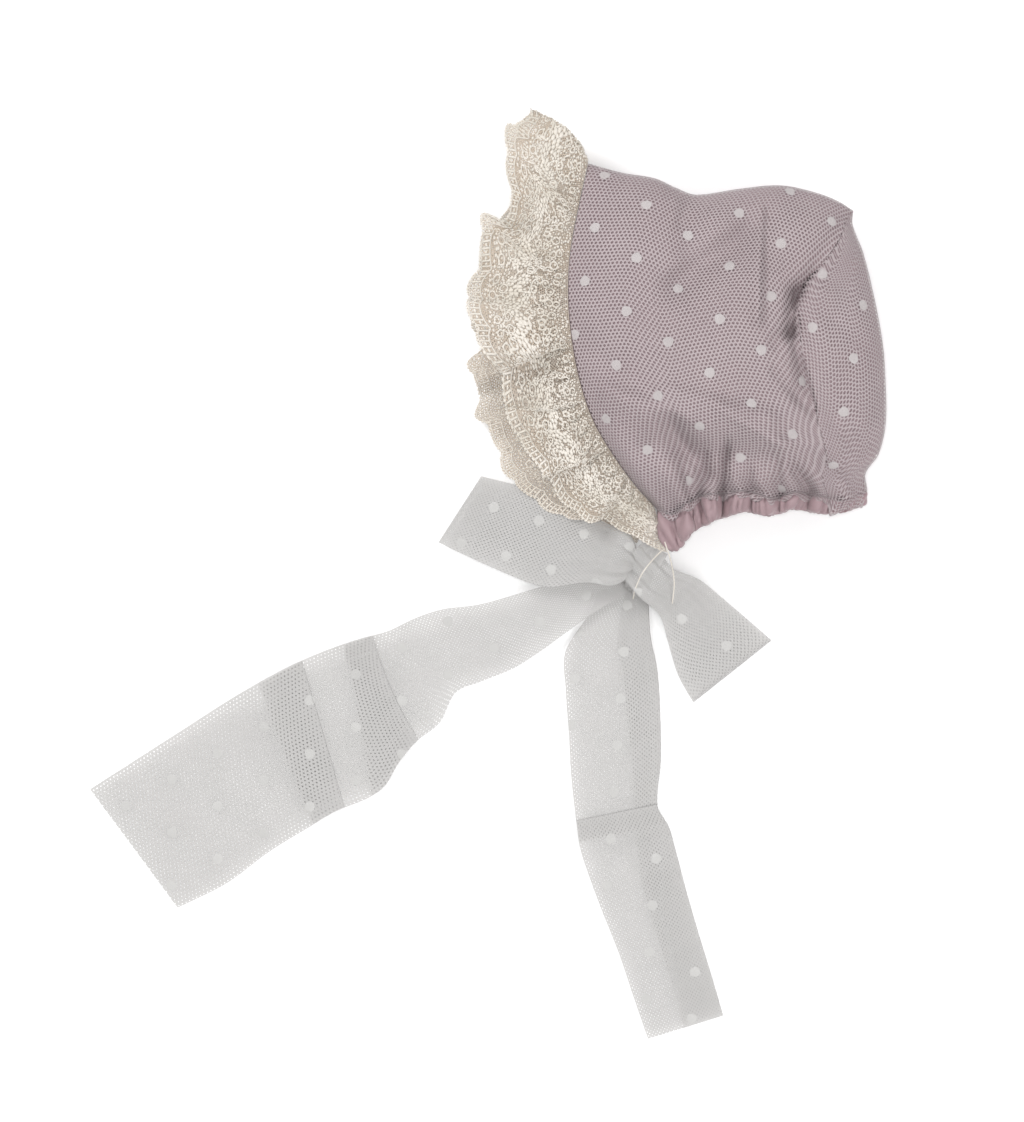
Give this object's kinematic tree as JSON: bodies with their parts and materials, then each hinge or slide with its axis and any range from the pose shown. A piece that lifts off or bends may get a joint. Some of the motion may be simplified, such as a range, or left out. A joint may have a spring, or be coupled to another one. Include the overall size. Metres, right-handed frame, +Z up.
{
  "type": "baby bonnet with lace ruffle and ribbon ties",
  "caption": "Baby bonnet lying on its side, with a soft cloth crown, a gathered lace ruffle round the face, an elastic neck casing and wide net ribbon tied in a bow.",
  "frame": {"origin": "the middle of the crown in plan, on the flat stretch of its far side that it rests on", "axes": "+Z up from the surface it lies on, +Y towards the top of the head, -X towards the face opening"},
  "size_m": [0.3574, 0.419, 0.0531],
  "materials": {
    "crown_cloth": "dusty mauve cotton under fine pale net with small round dots",
    "casing_cloth": "soft mauve cotton sateen, gathered on elastic",
    "lace": "cream cotton embroidery on fine net, gathered",
    "ribbon_net": "off-white soft net with small round dots, see-through in one layer"
  },
  "bodies": {
    "root": {"main_panel": "crown_cloth", "back_panel": "crown_cloth", "neck_casing": "casing_cloth", "lace_ruffle": "lace", "tie_strap_near": "ribbon_net", "tie_strap_far": "ribbon_net", "bow_knot": "ribbon_net", "bow_loop_left": "ribbon_net", "bow_loop_right": "ribbon_net", "tail_left": "ribbon_net", "tail_right": "ribbon_net"}
  },
  "joints": []
}
